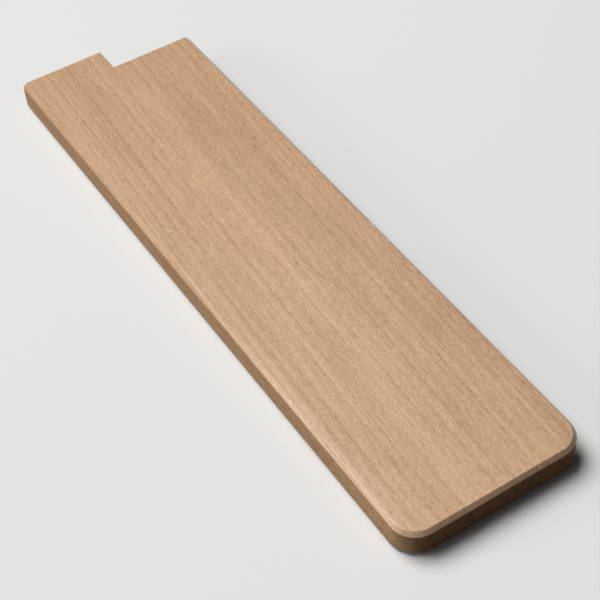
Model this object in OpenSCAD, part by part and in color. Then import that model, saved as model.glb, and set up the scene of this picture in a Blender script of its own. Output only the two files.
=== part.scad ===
// Slide-on wooden blade guard for a chef's knife.
// Two planks are glued face to face. Each has a shallow pocket in its inner face, cut to the plan of
// the blade, and disc magnets in wells in the pocket floor hold the blade. The guard lies flat: +X
// runs from the mouth to the closed end, +Y from the edge side to the spine side, +Z up, and the
// origin is under the middle of the board. Sizes are in millimetres.

/* [Blade it covers] */
// Length of the blade from heel to tip
blade_l = 210; // [190:1:240]
// Height of the blade at its heel
blade_h = 46; // [42:0.5:52]
// Greatest thickness of the blade, at the heel of its spine
blade_t = 3; // [2:0.1:3.4]
// Height of the blade's tip above its heel
blade_tip_h = 28; // [22:1:34]
// Distance from the heel to where the edge starts to rise
belly_start = 95; // [70:1:120]
// Distance from the heel to where the spine starts to drop
drop_start = 110; // [80:1:130]

/* [Pocket] */
// Air between the blade's outline and the wood
side_gap = 2; // [1:0.1:3]
// Extra air round the blade's tip
tip_relief = 0.2; // [0.1:0.1:1]
// Air between each face of the blade and its plank
face_gap = 0.7; // [0.4:0.05:0.9]
// Bevel inside the mouth that guides the blade in
lead_in = 0.8; // [0.4:0.1:1.2]

/* [Board] */
// Thickness of the upper plank
upper_t = 4.9; // [4.6:0.1:8]
// Thickness of the lower plank
lower_t = 4.9; // [4.6:0.1:8]
// Wood beside the pocket on the edge side
edge_rail = 5; // [3:0.1:12]
// Wood beside the pocket on the spine side
spine_rail = 5; // [3:0.1:12]
// Wood past the pocket at the closed end
end_wall = 12.8; // [8:0.1:24]
// How far the mouth reaches past the blade's heel
heel_cover = 3; // [1:0.5:6]
// Length of the tongue that covers the heel
tongue_l = 10.4; // [6:0.1:20]
// Width of the tongue, from the edge side
tongue_w = 30.2; // [24:0.1:36]

/* [Edges] */
// Bevel along the sides and the closed end
bevel = 1.1; // [0.5:0.05:1.5]
// Radius of the closed end's two corners, seen from above
end_corner_r = 8; // [4:0.5:16]
// Radius of the upright edges at the mouth
mouth_corner_r = 0.6; // [0.3:0.1:1.5]
// Small bevel round the outside of the mouth
mouth_ease = 0.35; // [0.2:0.05:0.6]

/* [Magnets] */
// Diameter of a magnet
magnet_d = 8; // [5:0.5:10]
// Thickness of a magnet
magnet_t = 1.5; // [1:0.1:1.8]
// Bevel on the rims of a magnet
magnet_rim = 0.2; // [0.1:0.05:0.3]
// Glue gap round a magnet
magnet_gap = 0.1; // [0.05:0.05:0.2]
// How far a magnet sits below the pocket floor
magnet_sink = 0.2; // [0.1:0.05:0.4]
// Distance from the blade's heel to the first magnet
magnet_start = 39; // [25:1:50]
// Distance from one magnet to the next
magnet_pitch = 60; // [40:1:60]
// Distance from the blade's spine to the middle of a magnet
magnet_inset = 12; // [10:0.5:16]

/* [Hidden] */
$fn = 64;
// Segments of the wide arcs of the blade's plan
wide_fn = 360;
// How far a cutter runs past the faces that it opens
over = 5;

board_l = heel_cover + blade_l + side_gap + tip_relief + end_wall;
board_w = edge_rail + side_gap + blade_h + side_gap + spine_rail;
pocket_d = blade_t / 2 + face_gap;
well_d = magnet_t + magnet_sink;
well_r = magnet_d / 2 + magnet_gap;

// The blade's heel and tip, measured from the mouth and from the edge side
heel = [heel_cover, edge_rail + side_gap];
tip = heel + [blade_l, blade_tip_h];

// The belly and the dropping spine are arcs, each level where it starts and ending at the tip
function arc_radius(run, rise) = (run * run + rise * rise) / (2 * rise);
belly_r = arc_radius(blade_l - belly_start, blade_tip_h);
belly_centre = heel + [belly_start, belly_r];
drop_r = arc_radius(blade_l - drop_start, blade_h - blade_tip_h);
drop_centre = heel + [drop_start, blade_h - drop_r];

// A point past the tip, straight out from the centre of an arc
function past_tip(centre) = tip + (board_w + over) * (tip - centre) / norm(tip - centre);

upper_wood = "#cba585";
lower_wood = "#d2ad8c";
nickel = "#b9b7b0";

// The blade seen from the side, grown by the side gap and open past the heel
module pocket_plan() {
    lower_clip = past_tip(belly_centre);
    upper_clip = past_tip(drop_centre);
    intersection() {
        translate([-over, heel[1] - side_gap])
            square([board_l, blade_h + 2 * side_gap]);
        union() {
            translate([-over, 0])
                square([belly_centre[0] + over, board_w]);
            translate(belly_centre)
                circle(belly_r + side_gap, $fn = wide_fn);
        }
        union() {
            translate([-over, 0])
                square([drop_centre[0] + over, board_w]);
            translate(drop_centre)
                circle(drop_r + side_gap, $fn = wide_fn);
        }
        polygon([
            [-over, lower_clip[1]], lower_clip, tip, upper_clip, [-over, upper_clip[1]],
        ]);
    }
    translate(tip)
        circle(side_gap + tip_relief);
}

// Section of the rim, from the line of the corner centres outwards
module rim_section(t)
    polygon([
        [0, 0], [end_corner_r, 0], [end_corner_r, t - bevel],
        [end_corner_r - bevel, t], [0, t],
    ]);

// Section across the whole board
module board_section(t)
    polygon([
        [0, 0], [board_w, 0], [board_w, t - bevel],
        [board_w - bevel, t], [bevel, t], [0, t - bevel],
    ]);

// A plank before anything is cut from it, with its inner face at z = 0
module plank_blank(t) {
    straight_l = board_l - end_corner_r;
    straight_w = board_w - 2 * end_corner_r;
    rotate([90, 0, 90])
        linear_extrude(straight_l)
            board_section(t);
    translate([straight_l, end_corner_r + straight_w, 0])
        rotate([90, 0, 0])
            linear_extrude(straight_w)
                rim_section(t);
    translate([straight_l, end_corner_r + straight_w, 0])
        rotate_extrude(angle = 90)
            rim_section(t);
    translate([straight_l, end_corner_r, 0])
        rotate([0, 0, -90])
            rotate_extrude(angle = 90)
                rim_section(t);
}

// The step on the spine side that clears the knife's neck and handle
module step_cut(t)
    translate([-over, tongue_w, -over])
        cube([tongue_l + over, board_w - tongue_w + over, t + 2 * over]);

// Section of a bevel cutter: it leans over the wood on +X from the origin up
module lean(size)
    polygon([[-board_w, -board_w], [size + over, size + over], [-board_w, size + over]]);

// Cutter for a bevel on the end of the tongue, starting at z = 0
module tongue_bevel(size)
    translate([0, board_w, 0])
        rotate([90, 0, 0])
            linear_extrude(board_w + over)
                lean(size);

// Cutter for a bevel round the step, mitred in its inner corner, starting at z = 0
module step_bevel(size)
    intersection() {
        translate([tongue_l, board_w + over, 0])
            rotate([90, 0, 0])
                linear_extrude(board_w + over)
                    lean(size);
        translate([-over, tongue_w, 0])
            mirror([0, 1, 0])
                rotate([90, 0, 90])
                    linear_extrude(tongue_l + size + 2 * over)
                        lean(size);
    }

// What lies outside a rounded upright corner at the origin, with the wood on +X +Y
module corner_waste(r, t)
    translate([0, 0, -over])
        linear_extrude(t + 2 * over)
            difference() {
                translate([-over, -over])
                    square(r + over);
                translate([r, r])
                    circle(r);
            }

// The upright edges of the mouth, rounded
module mouth_corners(t) {
    corner_waste(mouth_corner_r, t);
    translate([0, tongue_w, 0])
        mirror([0, 1, 0])
            corner_waste(mouth_corner_r, t);
    translate([tongue_l, board_w, 0])
        mirror([0, 1, 0])
            corner_waste(mouth_corner_r, t);
}

// The bevel between the pocket floor and the faces of the mouth, no wider than the pocket
module lead_in_cut()
    intersection() {
        translate([0, 0, pocket_d + lead_in])
            mirror([0, 0, 1]) {
                tongue_bevel(lead_in);
                step_bevel(lead_in);
            }
        translate([-over, heel[1] - side_gap, -over])
            cube([tongue_l + 2 * over, blade_h + 2 * side_gap, pocket_d + lead_in + 2 * over]);
    }

// Puts its children at a magnet's place, on the pocket floor
module at_magnet(i)
    translate(heel + [magnet_start + i * magnet_pitch, blade_h - magnet_inset])
        translate([0, 0, pocket_d])
            children();

// One plank with its inner face at z = 0 and its outer face at z = t
module plank(t)
    difference() {
        plank_blank(t);
        step_cut(t);
        mouth_corners(t);
        translate([0, 0, t - mouth_ease]) {
            tongue_bevel(mouth_ease);
            step_bevel(mouth_ease);
        }
        translate([0, 0, -over])
            linear_extrude(pocket_d + over)
                pocket_plan();
        lead_in_cut();
        for (i = [0:2])
            at_magnet(i)
                translate([0, 0, -pocket_d])
                    cylinder(r = well_r, h = pocket_d + well_d);
    }

// One magnet, seated on the floor of its well
module magnet(i) {
    r = magnet_d / 2;
    at_magnet(i)
        translate([0, 0, magnet_sink])
            rotate_extrude()
                polygon([
                    [0, 0], [r - magnet_rim, 0], [r, magnet_rim],
                    [r, magnet_t - magnet_rim], [r - magnet_rim, magnet_t], [0, magnet_t],
                ]);
}

// Puts its children in the upper half of the guard
module in_upper()
    translate([-board_l / 2, -board_w / 2, lower_t])
        children();

// Puts its children in the lower half, turned to face the upper one
module in_lower()
    translate([-board_l / 2, -board_w / 2, lower_t])
        mirror([0, 0, 1])
            children();

module upper_plank()
    color(upper_wood)
        in_upper()
            plank(upper_t);

module lower_plank()
    color(lower_wood)
        in_lower()
            plank(lower_t);

module upper_heel_magnet()
    color(nickel)
        in_upper()
            magnet(0);

module upper_middle_magnet()
    color(nickel)
        in_upper()
            magnet(1);

module upper_tip_magnet()
    color(nickel)
        in_upper()
            magnet(2);

module lower_heel_magnet()
    color(nickel)
        in_lower()
            magnet(0);

module lower_middle_magnet()
    color(nickel)
        in_lower()
            magnet(1);

module lower_tip_magnet()
    color(nickel)
        in_lower()
            magnet(2);

upper_plank();
lower_plank();
upper_heel_magnet();
upper_middle_magnet();
upper_tip_magnet();
lower_heel_magnet();
lower_middle_magnet();
lower_tip_magnet();
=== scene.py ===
"""The looks of a wooden blade guard: two glued planks, the magnets inside them, and the studio."""

import logging
import math
from dataclasses import dataclass
from enum import Enum
from typing import Any, Callable, Iterable

import bmesh
import bpy
from mathutils import Matrix, Vector


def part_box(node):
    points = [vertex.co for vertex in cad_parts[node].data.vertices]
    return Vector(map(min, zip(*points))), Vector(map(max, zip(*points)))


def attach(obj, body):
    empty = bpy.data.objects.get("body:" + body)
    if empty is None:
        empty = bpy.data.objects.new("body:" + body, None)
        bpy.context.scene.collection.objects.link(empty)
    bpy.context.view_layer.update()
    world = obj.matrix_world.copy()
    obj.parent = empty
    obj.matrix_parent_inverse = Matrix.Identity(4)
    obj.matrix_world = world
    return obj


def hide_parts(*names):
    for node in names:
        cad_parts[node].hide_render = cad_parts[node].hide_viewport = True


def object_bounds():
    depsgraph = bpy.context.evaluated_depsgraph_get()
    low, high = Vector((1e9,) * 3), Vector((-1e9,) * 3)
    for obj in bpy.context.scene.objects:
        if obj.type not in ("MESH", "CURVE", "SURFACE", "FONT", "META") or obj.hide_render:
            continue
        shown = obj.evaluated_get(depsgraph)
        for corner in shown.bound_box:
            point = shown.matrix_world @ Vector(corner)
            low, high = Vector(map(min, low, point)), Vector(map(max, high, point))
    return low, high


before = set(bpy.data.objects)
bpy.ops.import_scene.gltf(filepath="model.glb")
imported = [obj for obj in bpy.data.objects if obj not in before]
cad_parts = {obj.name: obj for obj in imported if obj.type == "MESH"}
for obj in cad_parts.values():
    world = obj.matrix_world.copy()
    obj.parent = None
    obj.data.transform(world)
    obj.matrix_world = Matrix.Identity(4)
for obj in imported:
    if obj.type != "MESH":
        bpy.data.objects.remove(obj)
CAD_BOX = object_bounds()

log = logging.getLogger("blade_guard")

MM = 0.001
BODY = "root"
MAGNET_PLACES = ("heel", "middle", "tip")

# Lengths closer than this are the same, in millimetres
NEAR = 0.01
# The strip along each long side whose outer edges are all softened, in millimetres
SIDE_STRIP = 1.0
# Past these angles, in radians, an edge is square, or hard enough to be softened
SQUARE_EDGE = 1.0
HARD_EDGE = math.radians(25)
# Steps across a softened edge
SOFT_STEPS = 3

Colour = tuple[float, float, float]
Point = tuple[float, float]
Place = tuple[float, float, float]
Socket = bpy.types.NodeSocket
Mesh = bmesh.types.BMesh
Edge = bmesh.types.BMEdge
Face = bmesh.types.BMFace


class Half(Enum):
    """Which way a plank faces, as the sign of its outer face's Z."""

    UPPER = 1
    LOWER = -1


class Skin(Enum):
    """The material slots of a plank."""

    OILED = 0
    BARE = 1


@dataclass(frozen=True)
class Layer:
    """One layer of a wood's grain: a noise with its own frequency along and across the fibres.

    Frequencies are per millimetre. The share is how much darker the wood is at the layer's highest
    places than at its lowest, and the dip is how much deeper they lie, as shares of the whole.
    """

    along: float
    across: float
    detail: float
    roughness: float = 0.5
    shift: Place = (0.0, 0.0, 0.0)
    share: float = 0.0
    dip: float = 0.0


THREADS = Layer(0.012, 1.1, 2.0, 0.6, (2.0, 3.0, 8.0), share=0.56)
STREAKS = Layer(0.1, 1.0, 3.0, 0.65, share=0.3)
FIBRES = Layer(0.35, 2.1, 2.0, 0.65, (4.0, 7.0, 1.0), share=0.82, dip=0.5)
SPECKLE = Layer(1.5, 2.6, 1.0, 0.6, share=0.95, dip=0.25)
MOTTLE = Layer(0.028, 0.11, 2.0, share=0.32)
PORES = Layer(0.14, 2.2, 0.0, 0.5, (5.0, 2.0, 9.0), share=0.09, dip=0.3)
RING_GAPS = Layer(0.012, 0.15, 3.0, shift=(7.0, 1.0, 4.0))
WARM_PATCHES = Layer(0.004, 0.035, 2.0, shift=(3.1, 8.2, 1.7))

# Each of these maps one span of a value to another: from low to high, then to low and to high
# Where in a year the dark line that ends a growth ring appears, and where it fades again
LINE_RISES = (0.84, 0.97, 0.0, 1.0)
LINE_FADES = (0.985, 1.0, 1.0, 0.0)
# How strongly a year darkens, and how strong its line is, by the year's own number
YEAR_TO_RAMP = (0.1, 0.9, 0.05, 0.16)
YEAR_TO_LINE = (0.2, 0.9, 0.3, 1.0)
# How much of a ring's line is left where it is broken
GAP_TO_LINE = (0.34, 0.54, 0.25, 1.0)
# Which part of the pores' noise is a pore, and how many pores the dense wood shows
NOISE_TO_PORE = (0.62, 0.8, 0.0, 1.0)
DENSE_TO_PORES = (0.35, 0.65, 0.35, 1.0)
# How much a face counts as sawn, by how level it is
LEVEL_TO_SAWN = (0.15, 0.6, 1.0, 0.0)
# How much a face counts as end grain, by how squarely it cuts the fibres
SQUARE_TO_END_GRAIN = (0.66, 1.0, 0.0, 0.88)

# What the oil leaves of the light on sawn faces and on end grain
SAWN_TINT = (0.86, 0.77, 0.64)
END_TINT = (0.64, 0.52, 0.4)


class Shader:
    """A material's node tree, with a short call for each kind of node that the finishes use."""

    def __init__(self, name: str) -> None:
        """Start an empty tree.

        Args:
            name: The material's name.
        """
        self.material = bpy.data.materials.new(name)
        self.material.use_nodes = True
        self.tree = self.material.node_tree
        self.tree.nodes.clear()

    def add(self, kind: str, inputs: dict[Any, Any] | None = None, **settings: Any) -> bpy.types.Node:
        """Add a node.

        Args:
            kind: The node's type, without its ShaderNode prefix.
            inputs: A socket to link or a constant to set, by input name or number.
            settings: Properties of the node itself.

        Returns:
            The new node.
        """
        node = self.tree.nodes.new("ShaderNode" + kind)
        for key, setting in settings.items():
            setattr(node, key, setting)
        for key, given in (inputs or {}).items():
            if isinstance(given, Socket):
                self.tree.links.new(given, node.inputs[key])
            else:
                node.inputs[key].default_value = given
        return node

    def maths(self, operation: str, *terms: Any, clamp: bool = False) -> Socket:
        """Return the result of a Math node on up to three terms."""
        node = self.add("Math", dict(enumerate(terms)), operation=operation, use_clamp=clamp)
        return node.outputs[0]

    def swing(self, value: Socket, share: Any) -> Socket:
        """Return a value of 0 to 1 as a swing of half the share to either side of 0."""
        return self.maths("MULTIPLY", self.maths("SUBTRACT", value, 0.5), share)

    def stretch(self, place: Socket, scale: Iterable[float],
                shift: Iterable[float] = (0.0, 0.0, 0.0)) -> Socket:
        """Return a place scaled along each axis and then shifted."""
        node = self.add("VectorMath", {0: place, 1: tuple(scale), 2: tuple(shift)},
                        operation="MULTIPLY_ADD")
        return node.outputs[0]

    def plus(self, place: Socket, offset: Socket) -> Socket:
        """Return a place moved by an offset."""
        return self.add("VectorMath", {0: place, 1: offset}, operation="ADD").outputs[0]

    def length(self, offset: Socket) -> Socket:
        """Return the length of an offset."""
        return self.add("VectorMath", {0: offset}, operation="LENGTH").outputs["Value"]

    def part(self, offset: Socket, axis: int) -> Socket:
        """Return an offset's part along an axis."""
        return self.add("SeparateXYZ", {0: offset}).outputs[axis]

    def noise(self, place: Socket, scale: Iterable[float], detail: float, roughness: float = 0.5,
              shift: Iterable[float] = (0.0, 0.0, 0.0)) -> bpy.types.Node:
        """Add a noise node with its own frequency along each axis, per millimetre."""
        return self.add("TexNoise", {"Vector": self.stretch(place, scale, shift), "Scale": 1.0,
                                     "Detail": detail, "Roughness": roughness})

    def layer(self, place: Socket, layer: Layer) -> Socket:
        """Return a layer of grain, from 0 to 1, in a block whose fibres run along X."""
        scale = (layer.along, layer.across, layer.across)
        return self.noise(place, scale, layer.detail, layer.roughness, layer.shift).outputs[0]

    def line_noise(self, distance: Socket, scale: float, shift: float) -> Socket:
        """Return a noise of 0 to 1 along one distance in millimetres."""
        along = self.maths("MULTIPLY_ADD", distance, scale, shift)
        node = self.add("TexNoise", {"W": along, "Scale": 1.0, "Detail": 1.0}, noise_dimensions="1D")
        return node.outputs[0]

    def span(self, value: Socket, low: float, high: float, to_low: float = 0.0,
             to_high: float = 1.0) -> Socket:
        """Return a value mapped smoothly from one span to another and held at its ends."""
        node = self.add("MapRange", {0: value, 1: low, 2: high, 3: to_low, 4: to_high},
                        interpolation_type="SMOOTHSTEP")
        return node.outputs[0]

    def mix(self, share: Any, first: Any, second: Any, blend: str = "MIX") -> Socket:
        """Return a mix of two colours."""
        node = self.add("Mix", {0: share, 6: first, 7: second}, data_type="RGBA", blend_type=blend)
        return node.outputs[2]

    def bump(self, height: Socket, strength: float, distance: float) -> Socket:
        """Return the normal of a surface with this relief, whose full height is in metres."""
        node = self.add("Bump", {"Strength": strength, "Distance": distance, "Height": height})
        return node.outputs[0]

    def finish(self, surface: Socket) -> bpy.types.Material:
        """Link the surface to the output and return the material."""
        self.add("OutputMaterial", {"Surface": surface})
        return self.material


def opaque(colour: Colour) -> tuple[float, float, float, float]:
    """Return a linear colour with a full alpha."""
    return (*colour, 1.0)


@dataclass(frozen=True)
class WoodFinish:
    """Fine straight-grained hardwood, drawn as one solid block that every face cuts through.

    Lengths are in millimetres. Colours are linear.
    """

    name: str
    early_wood: Colour
    late_wood: Colour
    warm_wood: Colour
    block_shift: Place
    drift_deg: float = 2.5
    pith_y: float = -190.0
    pith_z: float = -120.0
    rings_per_mm: float = 0.3
    ring_sway: float = 1.4
    ring_line: float = 0.17
    ring_bands: float = 0.38
    darkness: float = 0.38
    # Painted light: per millimetre the wood turns darker and warmer towards the mouth and lighter
    # towards the tip, standing in for the sheen and the lamps' fall-off along the board
    painted_light_per_mm: float = 0.0032
    curl: Point | None = None
    curl_reach: Point = (9.0, 4.5)
    curl_bend: float = 2.2
    roughness: float = 0.28
    sawn_rougher: float = 0.5
    oiled: bool = True

    def material(self) -> bpy.types.Material:
        """Build the wood's node tree.

        Returns:
            The material.
        """
        s = Shader(self.name)
        place, normal = self._block(s)
        waved = self._waved(s, place)
        sawn = self._sawn(s, normal)
        tone, relief = self._tone(s, place, waved, sawn)
        # The warmth carries painted light as well as the wood's own patches: a slow gradient, darker at
        # the mouth and lighter at the tip
        colour = s.mix(self._warmth_and_painted_light(s, place), opaque(self.early_wood), opaque(self.warm_wood))
        colour = s.mix(tone, colour, opaque(self.late_wood))
        colour = s.mix(sawn, colour, opaque(SAWN_TINT), "MULTIPLY")
        colour = s.mix(self._end_grain(s, normal), colour, opaque(END_TINT), "MULTIPLY")
        rough = s.span(tone, 0.0, 1.0, self.roughness - 0.04, self.roughness + 0.06)
        surface = s.add("BsdfPrincipled", {
            "Base Color": colour, "Normal": s.bump(relief, 0.3, 0.05 * MM),
            "Roughness": s.maths("MULTIPLY_ADD", sawn, self.sawn_rougher, rough),
            "IOR": 1.47, "Specular IOR Level": 0.5 if self.oiled else 0.25,
        })
        return s.finish(surface.outputs[0])

    def _block(self, s: Shader) -> tuple[Socket, Socket]:
        """Return the place in the block of wood, in millimetres, and the face's normal."""
        where = s.add("TexCoord")
        turned = s.add("Mapping", {
            "Vector": where.outputs["Object"], "Location": self.block_shift,
            "Rotation": (0.0, 0.0, math.radians(self.drift_deg)), "Scale": (1 / MM,) * 3,
        })
        return turned.outputs[0], where.outputs["Normal"]

    def _warmth_and_painted_light(self, s: Shader, place: Socket) -> Socket:
        """Return how warm and dark the board is, in patches, plus painted light: darker towards the
        mouth, lighter towards the tip.
        """
        fade, start = -self.painted_light_per_mm, self.painted_light_per_mm * self.block_shift[0]
        # Painted light: a slow gradient along the board, darker at the mouth and lighter at the tip
        painted_gradient = s.part(s.stretch(place, (fade,) * 3, (start,) * 3), 0)
        return s.maths("ADD", s.layer(place, WARM_PATCHES), painted_gradient, clamp=True)

    def _waved(self, s: Shader, place: Socket) -> Socket:
        """Return the place with the wander of the fibres added across the grain."""
        wander = self._sway(s, place, (0.006, 0.02, 0.02), 1.6)
        tremor = self._sway(s, place, (0.05, 0.2, 0.2), 0.15)
        waved = s.plus(place, s.plus(wander, tremor))
        return waved if self.curl is None else self._curled(s, place, waved)

    def _sway(self, s: Shader, place: Socket, scale: Place, reach: float) -> Socket:
        """Return an offset across the grain that wanders up to a reach to either side."""
        field = s.noise(place, scale, 1.0).outputs["Color"]
        return s.stretch(field, (0.0, 2 * reach, 2 * reach), (0.0, -reach, -reach))

    def _curled(self, s: Shader, place: Socket, waved: Socket) -> Socket:
        """Return the waved place with its fibres bent aside by the trace of a twig at the curl."""
        scale = [1 / reach for reach in self.curl_reach] + [0.0]
        centre = [-at * part for at, part in zip(self.curl, scale)] + [0.0]
        away = s.length(s.stretch(place, scale, centre))
        bend = s.add("CombineXYZ", {0: 0.0, 1: s.span(away, 0.0, 1.0, self.curl_bend, 0.0), 2: 0.0})
        return s.plus(waved, bend.outputs[0])

    def _rings(self, s: Shader, place: Socket, waved: Socket) -> tuple[Socket, Socket]:
        """Return how dark the growth rings are, about 0, and how dense the wood is, from 0 to 1."""
        depth = s.length(s.stretch(waved, (0.0, 1.0, 1.0), (0.0, -self.pith_y, -self.pith_z)))
        evenly = s.maths("MULTIPLY", depth, self.rings_per_mm)
        count = s.maths("MULTIPLY_ADD", s.line_noise(depth, 0.11, 17.3), self.ring_sway, evenly)
        year = s.add("TexWhiteNoise", {"W": s.maths("FLOOR", count)}, noise_dimensions="1D").outputs[0]
        season = s.maths("FRACT", count)

        # A ring darkens through its year and ends in a thin line, broken here and there
        ramp = s.swing(season, s.span(year, *YEAR_TO_RAMP))
        line = s.maths("MULTIPLY", s.span(season, *LINE_RISES), s.span(year, *YEAR_TO_LINE))
        line = s.maths("MULTIPLY", line, s.span(season, *LINE_FADES))
        line = s.maths("MULTIPLY", line, s.span(s.layer(place, RING_GAPS), *GAP_TO_LINE))
        rings = s.maths("MULTIPLY_ADD", line, self.ring_line, ramp)

        dense = s.line_noise(depth, 0.07, 4.0)
        bands = s.maths("SUBTRACT", dense, 0.5)
        return s.maths("MULTIPLY_ADD", bands, self.ring_bands, rings), dense

    def _tone(self, s: Shader, place: Socket, waved: Socket, sawn: Socket) -> tuple[Socket, Socket]:
        """Return how dark the wood is, from 0 to 1, and the height of its surface."""
        rings, dense = self._rings(s, place, waved)
        fibres, speckle = s.layer(waved, FIBRES), s.layer(place, SPECKLE)
        dashes = s.span(s.layer(waved, PORES), *NOISE_TO_PORE)
        pores = s.maths("MULTIPLY", dashes, s.span(dense, *DENSE_TO_PORES))
        tone = s.maths("ADD", rings, self.darkness)
        for part, layer in ((s.layer(waved, THREADS), THREADS), (s.layer(waved, STREAKS), STREAKS),
                            (fibres, FIBRES), (speckle, SPECKLE), (s.layer(place, MOTTLE), MOTTLE)):
            tone = s.maths("ADD", tone, s.swing(part, layer.share))
        saw_marks = s.swing(speckle, sawn)
        tone = s.maths("MULTIPLY_ADD", pores, PORES.share, s.maths("ADD", tone, saw_marks), clamp=True)
        relief = s.maths("MULTIPLY", fibres, -FIBRES.dip)
        relief = s.maths("MULTIPLY_ADD", speckle, -SPECKLE.dip, relief)
        return tone, s.maths("MULTIPLY_ADD", pores, -PORES.dip, relief)

    def _sawn(self, s: Shader, normal: Socket) -> Socket:
        """Return 1 on the sides and ends, which are sawn and drink more oil, and 0 on planed faces."""
        return s.span(s.maths("ABSOLUTE", s.part(normal, 2)), *LEVEL_TO_SAWN)

    def _end_grain(self, s: Shader, normal: Socket) -> Socket:
        """Return how much a face is end grain, where the fibres stand on end and drink more oil."""
        return s.span(s.maths("ABSOLUTE", s.part(normal, 0)), *SQUARE_TO_END_GRAIN)


@dataclass(frozen=True)
class NickelFinish:
    """Bright nickel plating with faint tumbling marks. The marks' frequency is per millimetre."""

    name: str = "nickel_plating"
    colour: Colour = (0.6, 0.58, 0.54)
    dulled: float = 0.88
    marks_per_mm: float = 2.2
    roughness: float = 0.22

    def material(self) -> bpy.types.Material:
        """Build the plating's node tree.

        Returns:
            The material.
        """
        s = Shader(self.name)
        where = s.stretch(s.add("TexCoord").outputs["Object"], (1 / MM,) * 3)
        marks = s.noise(where, (self.marks_per_mm,) * 3, 4.0, 0.7).outputs[0]
        dull = tuple(self.dulled * part for part in self.colour)
        surface = s.add("BsdfPrincipled", {
            "Base Color": s.mix(marks, opaque(self.colour), opaque(dull)),
            "Metallic": 1.0, "Normal": s.bump(marks, 0.15, 0.02 * MM),
            "Roughness": s.span(marks, 0.2, 0.8, self.roughness - 0.05, self.roughness + 0.1),
        })
        return s.finish(surface.outputs[0])


@dataclass(frozen=True)
class FloorFinish:
    """A plain pale floor that throws little light back and fades into the backdrop far away.

    The fade's distances are in metres from the object.
    """

    name: str = "studio_floor"
    seen: Colour = (0.76, 0.76, 0.75)
    bounced: Colour = (0.06, 0.06, 0.06)
    horizon: Colour = (0.82, 0.82, 0.81)
    fade: Point = (0.4, 1.2)

    def material(self) -> bpy.types.Material:
        """Build the floor's node tree.

        Returns:
            The material.
        """
        s = Shader(self.name)
        ray = s.add("LightPath").outputs
        mirrored = s.maths("MAXIMUM", ray["Is Glossy Ray"], ray["Is Transmission Ray"])
        direct = s.maths("MAXIMUM", ray["Is Camera Ray"], mirrored)
        lit = s.add("BsdfDiffuse", {"Color": s.mix(direct, opaque(self.bounced), opaque(self.seen))})
        far = s.span(s.length(s.add("TexCoord").outputs["Object"]), *self.fade)
        haze = s.add("Emission", {"Color": opaque(self.horizon)})
        both = s.add("MixShader", {0: s.maths("MULTIPLY", direct, far), 1: lit.outputs[0],
                                   2: haze.outputs[0]})
        return s.finish(both.outputs[0])


def arc(centre: Point, radius: float, start: float, end: float, steps: int) -> list[Point]:
    """Return points along an arc.

    Args:
        centre: The arc's centre.
        radius: Its radius.
        start: The angle of its first point, in radians.
        end: The angle of its last point.
        steps: How many segments it has.

    Returns:
        The points, ends included.
    """
    turns = (start + (end - start) * i / steps for i in range(steps + 1))
    return [(centre[0] + radius * math.cos(a), centre[1] + radius * math.sin(a)) for a in turns]


@dataclass(frozen=True)
class BladePlan:
    """The plan of the pocket: the blade seen from the side, grown by the air around it.

    Lengths are in millimetres from the end of the tongue and from the edge side.
    """

    heel: Point = (3.0, 7.0)
    length: float = 210.0
    height: float = 46.0
    tip_height: float = 28.0
    belly_start: float = 95.0
    drop_start: float = 110.0
    side_gap: float = 2.0
    tip_relief: float = 0.2
    belly_steps: int = 36
    tip_steps: int = 10
    drop_steps: int = 30

    @property
    def low(self) -> float:
        """The pocket's wall on the edge side."""
        return self.heel[1] - self.side_gap

    @property
    def high(self) -> float:
        """The pocket's wall on the spine side."""
        return self.heel[1] + self.height + self.side_gap

    def nose(self) -> list[Point]:
        """Return the pocket's wall from the start of the belly, round the tip, to the straight spine."""
        run, rise = self.length - self.belly_start, self.tip_height
        belly_r = (run * run + rise * rise) / (2 * rise)
        belly_centre = (self.heel[0] + self.belly_start, self.heel[1] + belly_r)
        run, rise = self.length - self.drop_start, self.height - self.tip_height
        drop_r = (run * run + rise * rise) / (2 * rise)
        drop_centre = (self.heel[0] + self.drop_start, self.heel[1] + self.height - drop_r)
        tip = (self.heel[0] + self.length, self.heel[1] + self.tip_height)
        belly_end = math.atan2(tip[1] - belly_centre[1], tip[0] - belly_centre[0])
        drop_end = math.atan2(tip[1] - drop_centre[1], tip[0] - drop_centre[0])
        belly = arc(belly_centre, belly_r + self.side_gap, -math.pi / 2, belly_end, self.belly_steps)
        point = arc(tip, self.side_gap + self.tip_relief, belly_end, drop_end, self.tip_steps)
        drop = arc(drop_centre, drop_r + self.side_gap, drop_end, math.pi / 2, self.drop_steps)
        return belly[:-1] + point[1:-1] + drop[1:]


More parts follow.
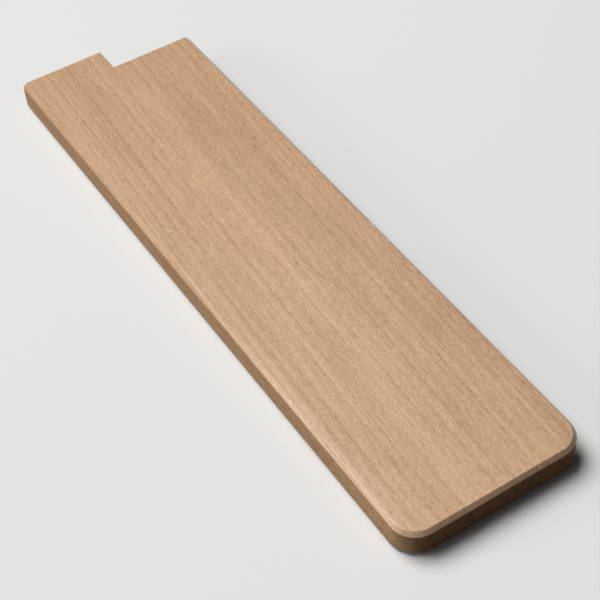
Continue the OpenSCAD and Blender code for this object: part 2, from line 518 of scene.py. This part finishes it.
@dataclass
class Plank:
    """One of the two planks, cut from a plan, routed inside and eased along its edges.

    Lengths are in millimetres, in the plank's own frame: X from the end of the tongue, Y from the
    edge side, Z from the inner face to the outer one. At the closed end the bevel reaches
    end_bevel_d down the wall, and up to corner_ease further at the two corners.
    """

    node: str
    half: Half
    finish: WoodFinish
    inside: WoodFinish
    slot: str
    blade: BladePlan = BladePlan()
    tongue_l: float = 10.4
    tongue_w: float = 30.2
    end_corner_r: float = 8.0
    mouth_corner_r: float = 0.6
    pocket_d: float = 2.2
    well_d: float = 1.7
    well_r: float = 4.1
    lead_in: float = 0.8
    bevel: float = 1.1
    end_bevel_d: float = 1.35
    corner_ease: float = 0.0
    arris_r: float = 0.12
    corner_steps: int = 16
    mouth_steps: int = 5

    def __post_init__(self) -> None:
        """Take the plank's overall size from its solid."""
        low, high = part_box(self.node)
        self.length, self.width, self.thickness = ((high - low) / MM)
        self.origin = Vector((low.x, low.y, low.z if self.half is Half.UPPER else high.z))

    def build(self, magnets: list[Point]) -> bpy.types.Object:
        """Model the plank.

        Args:
            magnets: The middles of the magnets' wells.

        Returns:
            The finished piece, in its place.
        """
        bm = bmesh.new()
        rails, floors, wells = self._plan(bm, magnets)
        self._raise(bm, rails + floors + wells, self.thickness - self.pocket_d)
        self._step(bm, rails, -self.pocket_d)
        self._step(bm, wells, self.well_d)
        bmesh.ops.recalc_face_normals(bm, faces=bm.faces)
        self._clear_seams(bm)
        self._ease(bm)
        self._strip(bm, magnets)
        return self._place(bm)

    def _plan(self, bm: Mesh, magnets: list[Point]) -> tuple[list[Face], list[Face], list[Face]]:
        """Draw the plan at the pocket floor's height.

        Args:
            bm: The mesh to draw in.
            magnets: The middles of the wells.

        Returns:
            The faces of the rails, of the pocket floor and of the wells.
        """
        known: dict[Point, bmesh.types.BMVert] = {}

        def face(points: list[Point]) -> Face:
            verts = []
            for x, y in points:
                key = (round(x, 4), round(y, 4))
                if key not in known:
                    known[key] = bm.verts.new((x, y, self.pocket_d))
                if known[key] not in verts:
                    verts.append(known[key])
            return bm.faces.new(verts)

        r, steps = self.end_corner_r, self.corner_steps
        low, high, step = self.blade.low, self.blade.high, self.tongue_l
        outside = [(0.0, 0.0)]
        outside += arc((self.length - r, r), r, -math.pi / 2, 0.0, steps)
        outside += arc((self.length - r, self.width - r), r, 0.0, math.pi / 2, steps)
        outside += [(step, self.width)]
        nose = self.blade.nose()
        rail = face(outside + [(step, high)] + nose[::-1] + [(0.0, low)])

        # The pocket floor is split along the line of the magnets, so that each well is a face
        line = magnets[0][1]
        split = max(i for i, p in enumerate(nose) if p[1] > line and p[0] > magnets[-1][0]
                    and nose[i - 1][1] <= line)
        under, over, wells = [(step, line)], [(step, line)], []
        for middle in magnets:
            under += arc(middle, self.well_r, math.pi, 2 * math.pi, steps)
            over += arc(middle, self.well_r, math.pi, 0.0, steps)
            wells.append(face(arc(middle, self.well_r, 0.0, 2 * math.pi, 2 * steps)[:-1]))
        mouth = [(step, self.tongue_w), (0.0, self.tongue_w), (0.0, low)]
        floor_under = face(mouth + nose[:split + 1] + under[::-1])
        floor_over = face(over + nose[split:] + [(step, high)])
        return [rail], [floor_under, floor_over], wells

    def _raise(self, bm: Mesh, faces: list[Face], height: float) -> None:
        """Extrude faces along Z. The faces themselves stay behind."""
        out = bmesh.ops.extrude_face_region(bm, geom=faces, use_keep_orig=True)["geom"]
        bmesh.ops.translate(bm, vec=(0.0, 0.0, height),
                            verts=[g for g in out if isinstance(g, bmesh.types.BMVert)])

    def _step(self, bm: Mesh, faces: list[Face], height: float) -> None:
        """Move faces of the closed body along Z, with new walls round them."""
        self._raise(bm, faces, height)
        bmesh.ops.delete(bm, geom=faces, context="FACES_ONLY")

    def _clear_seams(self, bm: Mesh) -> None:
        """Join the faces that lie in one plane, so that each flat of the plank is one face."""
        bmesh.ops.dissolve_limit(bm, angle_limit=math.radians(0.05), verts=bm.verts, edges=bm.edges,
                                 use_dissolve_boundaries=False)

    def _edges(self, bm: Mesh, wanted: Callable[[Edge, Vector], bool]) -> list[Edge]:
        """Return the edges for which wanted says yes, given each edge and its middle."""
        return [e for e in bm.edges if wanted(e, (e.verts[0].co + e.verts[1].co) / 2)]

    def _round(self, bm: Mesh, edges: list[Edge], size: float, segments: int) -> None:
        """Bevel edges by a size, flat with one segment and round with more."""
        bmesh.ops.bevel(bm, geom=edges, affect="EDGES", offset=size, offset_type="OFFSET",
                        segments=segments, profile=0.5, material=-1, clamp_overlap=True,
                        miter_outer="SHARP", miter_inner="SHARP")

    def _ease(self, bm: Mesh) -> None:
        """Cut the bevel round the rim, guide the mouth, and soften the rim and the long sides."""
        top, step = self.thickness, self.tongue_l

        def at(value: float, target: float) -> bool:
            return abs(value - target) < NEAR

        def bent(e: Edge, angle: float) -> bool:
            return e.calc_face_angle(0.0) > angle

        def on_mouth(e: Edge) -> bool:
            ends = [v.co for v in e.verts]
            return (all(at(c.x, 0.0) for c in ends)
                    or all(at(c.x, step) and c.y > self.tongue_w - NEAR for c in ends)
                    or all(at(c.y, self.tongue_w) and c.x < step + NEAR for c in ends))

        rim = self._edges(bm, lambda e, m: all(at(v.co.z, top) for v in e.verts)
                          and not on_mouth(e) and bent(e, SQUARE_EDGE))
        self._round(bm, rim, self.bevel, 1)
        self._deepen(bm)
        guide = self._edges(bm, lambda e, m: all(at(v.co.z, self.pocket_d) for v in e.verts)
                            and on_mouth(e) and bent(e, SQUARE_EDGE))
        self._round(bm, guide, self.lead_in, 1)
        upright = self._edges(bm, lambda e, m: abs((e.verts[0].co - e.verts[1].co).z) > NEAR
                              and bent(e, HARD_EDGE)
                              and (at(m.x, 0.0) and (m.y < self.bevel or at(m.y, self.tongue_w))
                                   or at(m.x, step) and m.y > self.width - self.bevel - NEAR))
        self._round(bm, upright, self.mouth_corner_r, self.mouth_steps)
        soft = self._edges(bm, lambda e, m: bent(e, HARD_EDGE) and e.is_convex and m.z > NEAR
                           and self._on_rim_or_side(m))
        self._round(bm, soft, self.arris_r, SOFT_STEPS)

    def _deepen(self, bm: Mesh) -> None:
        """Let the bevel reach further down the wall at the closed end, and most at its corners.

        Args:
            bm: The mesh, with a bevel of one width all round.
        """
        r = self.end_corner_r
        for vert in bm.verts:
            x, y, z = vert.co
            out = Vector((x - self.length + r, y - min(max(y, r), self.width - r), 0.0))
            on_wall = out.x >= NEAR and abs(out.length - r) <= NEAR
            if on_wall and abs(z - self.thickness + self.bevel) <= NEAR:
                forward, aside = out.x / r, abs(out.y) / r
                vert.co.z -= ((self.end_bevel_d - self.bevel) * forward
                              + self.corner_ease * (2 * forward * aside) ** 2)

    def _on_rim_or_side(self, middle: Vector) -> bool:
        """Say whether an edge with this middle is on the outer face's rim or along a long side.

        The bevel's lower edge at the closed end is neither, and stays sharp.
        """
        return (middle.z > self.pocket_d + self.well_d + NEAR or middle.y < SIDE_STRIP
                or middle.y > self.width - SIDE_STRIP)

    def _strip(self, bm: Mesh, magnets: list[Point]) -> None:
        """Leave the routed faces of the pocket, the guide and the wells as bare wood.

        Args:
            bm: The finished mesh.
            magnets: The middles of the wells.
        """
        floor = self.pocket_d
        for face in bm.faces:
            low, high = (pick(v.co.z for v in face.verts) for pick in (min, max))
            middle = face.calc_center_median().xy
            in_well = any((middle - Vector(m)).length < self.well_r + NEAR for m in magnets)
            ceiling = floor + (self.well_d if in_well else self.lead_in)
            routed = high < floor + NEAR or low > floor - NEAR and high < ceiling + NEAR
            face.material_index = (Skin.BARE if routed else Skin.OILED).value

    def _place(self, bm: Mesh) -> bpy.types.Object:
        """Move the mesh to its place in metres and make it an object.

        Args:
            bm: The finished mesh, in the plank's own frame.

        Returns:
            The object.
        """
        flip = Matrix.Diagonal((1.0, 1.0, self.half.value, 1.0))
        bmesh.ops.transform(bm, matrix=Matrix.Translation(self.origin) @ Matrix.Scale(MM, 4) @ flip,
                            verts=bm.verts)
        bmesh.ops.recalc_face_normals(bm, faces=bm.faces)
        return piece(self.node.replace("plank", "board"), bm,
                     [self.finish.material(), self.inside.material()], [self.node])


def piece(name: str, bm: Mesh, materials: list[bpy.types.Material], nodes: list[str],
          sharp_deg: float = 28.0) -> bpy.types.Object:
    """Make a finished piece that stands for solids of the frame.

    Args:
        name: The piece's name.
        bm: Its mesh, in the shared frame, in metres. It is freed.
        materials: Its materials.
        nodes: The solids that it replaces.
        sharp_deg: The angle past which an edge is drawn sharp.

    Returns:
        The new object.
    """
    mesh = bpy.data.meshes.new(name)
    bm.to_mesh(mesh)
    bm.free()
    mesh.shade_smooth()
    mesh.set_sharp_from_angle(angle=math.radians(sharp_deg))
    for material in materials:
        mesh.materials.append(material)
    obj = bpy.data.objects.new(name, mesh)
    bpy.context.scene.collection.objects.link(obj)
    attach(obj, BODY)
    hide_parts(*nodes)
    log.info("built %s: %d faces", name, len(mesh.polygons))
    return obj


@dataclass
class Magnet:
    """A plated disc magnet in its well. Lengths are in millimetres."""

    node: str
    finish: NickelFinish
    rim_r: float = 0.2
    turns: int = 48

    def build(self) -> bpy.types.Object:
        """Raise a disc from its lower face and round its two rims.

        Returns:
            The finished piece, in its place.
        """
        low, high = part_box(self.node)
        middle = (low + high) / 2
        radius, height = (high.x - low.x) / 2, high.z - low.z
        bm = bmesh.new()
        bmesh.ops.create_circle(bm, cap_ends=True, segments=self.turns, radius=radius,
                                matrix=Matrix.Translation((middle.x, middle.y, low.z)))
        out = bmesh.ops.extrude_face_region(bm, geom=bm.faces[:], use_keep_orig=True)["geom"]
        bmesh.ops.translate(bm, vec=(0.0, 0.0, height),
                            verts=[g for g in out if isinstance(g, bmesh.types.BMVert)])
        bmesh.ops.recalc_face_normals(bm, faces=bm.faces)
        rims = [e for e in bm.edges if e.calc_face_angle(0.0) > SQUARE_EDGE]
        bmesh.ops.bevel(bm, geom=rims, affect="EDGES", offset=self.rim_r * MM, segments=SOFT_STEPS,
                        profile=0.5, material=-1)
        return piece(self.node.replace("magnet", "disc"), bm,
                     [self.finish.material()], [self.node])


@dataclass(frozen=True)
class Lamp:
    """A soft rectangular lamp that faces the object. Lengths are in metres."""

    name: str
    at: Place
    width: float
    height: float
    watts: float

    def hang(self) -> None:
        """Make the lamp and turn it to the object."""
        light = bpy.data.lights.new(self.name, "AREA")
        light.energy = self.watts
        light.shape = "RECTANGLE"
        light.size = self.width
        light.size_y = self.height
        obj = bpy.data.objects.new(self.name, light)
        obj.location = self.at
        obj.rotation_euler = Vector(self.at).to_track_quat("Z", "Y").to_euler()
        bpy.context.scene.collection.objects.link(obj)


@dataclass
class Studio:
    """The floor, the lamps, the sky and the camera. Lengths are in metres."""

    floor: FloorFinish = FloorFinish()
    floor_size: float = 8.0
    overhead: Lamp = Lamp("overhead_lamp", (-2.2, -1.25, 4.4), 3.4, 3.4, 305.0)
    side: Lamp = Lamp("side_lamp", (-1.25, -2.15, 0.85), 0.75, 0.48, 7.7)
    fill: Lamp = Lamp("fill_lamp", (-0.05, -2.4, 0.72), 2.0, 1.2, 8.4)
    sky: float = 0.04
    backdrop: Colour = (0.82, 0.82, 0.81)
    camera_at: Place = (0.29087, -0.15694, 0.33833)
    camera_looks: Place = (-0.59069, 0.33628, -0.73349)
    camera_up: Place = (-0.60023, 0.4244, 0.67795)
    lens: float = 91.14

    def build(self) -> None:
        """Lay the floor, light the object and set the camera."""
        bpy.context.scene.view_settings.view_transform = "Standard"
        self._lay_floor()
        for lamp in (self.overhead, self.side, self.fill):
            lamp.hang()
        self._surround()
        self._aim_camera()

    def _lay_floor(self) -> None:
        """Lay the floor under the lowest point of the object."""
        bm = bmesh.new()
        bmesh.ops.create_grid(bm, x_segments=1, y_segments=1, size=self.floor_size / 2,
                              matrix=Matrix.Translation((0.0, 0.0, CAD_BOX[0].z)))
        mesh = bpy.data.meshes.new("floor")
        bm.to_mesh(mesh)
        bm.free()
        mesh.materials.append(self.floor.material())
        obj = bpy.data.objects.new("floor", mesh)
        bpy.context.scene.collection.objects.link(obj)

    def _surround(self) -> None:
        """Set a dim even sky that the camera sees as a pale backdrop."""
        world = bpy.data.worlds.new("studio")
        bpy.context.scene.world = world
        world.use_nodes = True
        tree = world.node_tree
        tree.nodes.clear()
        ray = tree.nodes.new("ShaderNodeLightPath")
        dim, pale = (tree.nodes.new("ShaderNodeBackground") for _ in range(2))
        dim.inputs["Strength"].default_value = self.sky
        pale.inputs["Color"].default_value = opaque(self.backdrop)
        mix, out = tree.nodes.new("ShaderNodeMixShader"), tree.nodes.new("ShaderNodeOutputWorld")
        tree.links.new(ray.outputs["Is Camera Ray"], mix.inputs[0])
        tree.links.new(dim.outputs[0], mix.inputs[1])
        tree.links.new(pale.outputs[0], mix.inputs[2])
        tree.links.new(mix.outputs[0], out.inputs[0])

    def _aim_camera(self) -> None:
        """Put the camera where the photograph was taken from."""
        camera = bpy.data.cameras.new("camera")
        camera.lens = self.lens
        camera.sensor_width = 36.0
        camera.clip_start = 0.01
        back = -Vector(self.camera_looks).normalized()
        right = Vector(self.camera_up).cross(back).normalized()
        turn = Matrix((right, back.cross(right), back)).transposed().to_4x4()
        obj = bpy.data.objects.new("camera", camera)
        obj.matrix_world = Matrix.Translation(self.camera_at) @ turn
        bpy.context.scene.collection.objects.link(obj)
        bpy.context.scene.camera = obj


UPPER_WOOD = WoodFinish("upper_oiled_wood", early_wood=(0.788, 0.532, 0.337),
                        late_wood=(0.345, 0.19, 0.099), warm_wood=(0.69, 0.449, 0.274),
                        block_shift=(0.0, 42.5, 0.0), curl=(-44.6, 57.8))
LOWER_WOOD = WoodFinish("lower_oiled_wood", early_wood=(0.84, 0.578, 0.368),
                        late_wood=(0.39, 0.22, 0.117), warm_wood=(0.74, 0.492, 0.305),
                        block_shift=(173.0, 61.0, 37.0))
BARE_WOOD = WoodFinish("bare_routed_wood", early_wood=(0.82, 0.585, 0.39),
                       late_wood=(0.42, 0.26, 0.15), warm_wood=(0.76, 0.525, 0.34),
                       block_shift=(0.0, 0.0, 0.0), roughness=0.6, oiled=False)


def well_middles() -> list[Point]:
    """Return the middles of the magnets' wells, in millimetres, in a plank's own frame."""
    middles = []
    for name in MAGNET_PLACES:
        low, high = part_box(f"upper_{name}_magnet")
        middle = (low + high) / 2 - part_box("upper_plank")[0]
        middles.append((middle.x / MM, middle.y / MM))
    return middles


def main() -> None:
    """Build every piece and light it."""
    logging.basicConfig(level=logging.INFO, format="%(name)s: %(message)s")
    wells = well_middles()
    Plank("upper_plank", Half.UPPER, UPPER_WOOD, BARE_WOOD, "upper_wood").build(wells)
    Plank("lower_plank", Half.LOWER, LOWER_WOOD, BARE_WOOD, "lower_wood", corner_ease=0.75).build(wells)
    nickel = NickelFinish()
    for plank in ("upper", "lower"):
        for name in MAGNET_PLACES:
            Magnet(f"{plank}_{name}_magnet", nickel).build()
    Studio().build()


if __name__ == "__main__":
    main()
